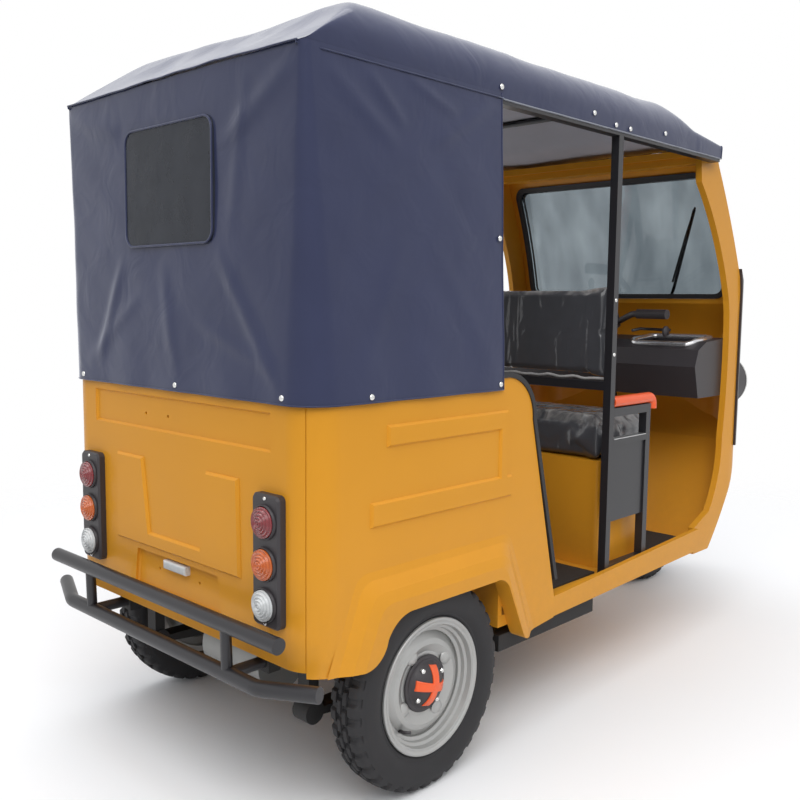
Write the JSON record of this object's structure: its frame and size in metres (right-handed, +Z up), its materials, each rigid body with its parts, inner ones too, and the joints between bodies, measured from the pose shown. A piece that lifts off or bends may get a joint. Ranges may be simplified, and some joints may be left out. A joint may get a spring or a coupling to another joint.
{
  "type": "electric utility cart",
  "caption": "Electric passenger cart on a tricycle layout with open sides, bench seats, a soft canopy, a windscreen cowl and handlebar steering.",
  "frame": {"origin": "on the ground under the middle of the cart's box", "axes": "+X forward, +Y to the left, +Z up"},
  "size_m": [2.6999, 1.109, 1.8199],
  "materials": {
    "yellow_paint": "gloss",
    "black_paint": "satin",
    "canopy_cloth": "coated",
    "window_film": "gloss",
    "black_vinyl": "satin",
    "black_rubber": "matte",
    "black_plastic": "satin",
    "orange_plastic": "gloss",
    "screen_glass": "clear",
    "red_lens": "gloss",
    "amber_lens": "gloss",
    "clear_lens": "gloss",
    "tyre_rubber": "matte",
    "wheel_paint": "satin",
    "under_paint": "matte",
    "motor_case": "satin",
    "mat_rubber": "matte"
  },
  "bodies": {
    "body": {"chassis_frame": "under_paint", "battery_box": "black_plastic", "floor_pan": "yellow_paint", "floor_mat": "mat_rubber", "rear_panel": "yellow_paint", "left_quarter_panel": "yellow_paint", "right_quarter_panel": "yellow_paint", "door_edge_trims": "black_rubber", "passenger_seat_base": "yellow_paint", "passenger_cushion": "black_vinyl", "passenger_backrest": "black_vinyl", "driver_seat_box": "yellow_paint", "driver_cushion": "black_vinyl", "driver_backrest": "black_vinyl", "roof_rails": "black_paint", "roof_bows": "black_paint", "rear_posts": "black_paint", "partition_frame": "black_paint", "side_guards": "black_paint", "handrails": "orange_plastic", "canopy_roof": "canopy_cloth", "canopy_rear": "canopy_cloth", "canopy_sides": "canopy_cloth", "rear_window": "window_film", "front_cowl": "yellow_paint", "front_fascia": "black_plastic", "windscreen": "screen_glass", "windscreen_seal": "black_rubber", "wiper": "black_plastic", "dashboard": "black_plastic", "headlamp_bezels": "black_plastic", "headlamp_lenses": "clear_lens", "tail_lamp_housings": "black_plastic", "tail_lamp_red_lenses": "red_lens", "tail_lamp_amber_lenses": "amber_lens", "tail_lamp_clear_lenses": "clear_lens", "number_plate_lamp": "clear_lens", "rear_bumper": "black_paint", "rear_axle": "under_paint", "drive_motor": "motor_case", "leaf_springs": "under_paint"},
    "rear_left_wheel": {"rear_left_tyre": "tyre_rubber", "rear_left_rim": "wheel_paint", "rear_left_hub_cap": "black_plastic"},
    "rear_right_wheel": {"rear_right_tyre": "tyre_rubber", "rear_right_rim": "wheel_paint", "rear_right_hub_cap": "black_plastic"},
    "front_wheel": {"front_tyre": "tyre_rubber", "front_rim": "wheel_paint"},
    "steering": {"front_fork": "black_paint", "handlebar": "black_plastic", "front_mudguard": "yellow_paint"}
  },
  "joints": [
    {"name": "rear_left_spin", "type": "hinge", "parent": "body", "child": "rear_left_wheel", "pos_m": [-0.886, 0.466, 0.257], "axis": [0, 1, 0], "continuous": true},
    {"name": "rear_right_spin", "type": "hinge", "parent": "body", "child": "rear_right_wheel", "pos_m": [-0.886, -0.466, 0.257], "axis": [0, 1, 0], "continuous": true},
    {"name": "steering_turn", "type": "hinge", "parent": "body", "child": "steering", "pos_m": [1.00877, 0, 0.23356], "axis": [-0.3907, 0, 0.9205], "range_deg": [-38, 38]},
    {"name": "front_spin", "type": "hinge", "parent": "steering", "child": "front_wheel", "pos_m": [1.064, 0, 0.257], "axis": [0, 1, 0], "continuous": true}
  ]
}
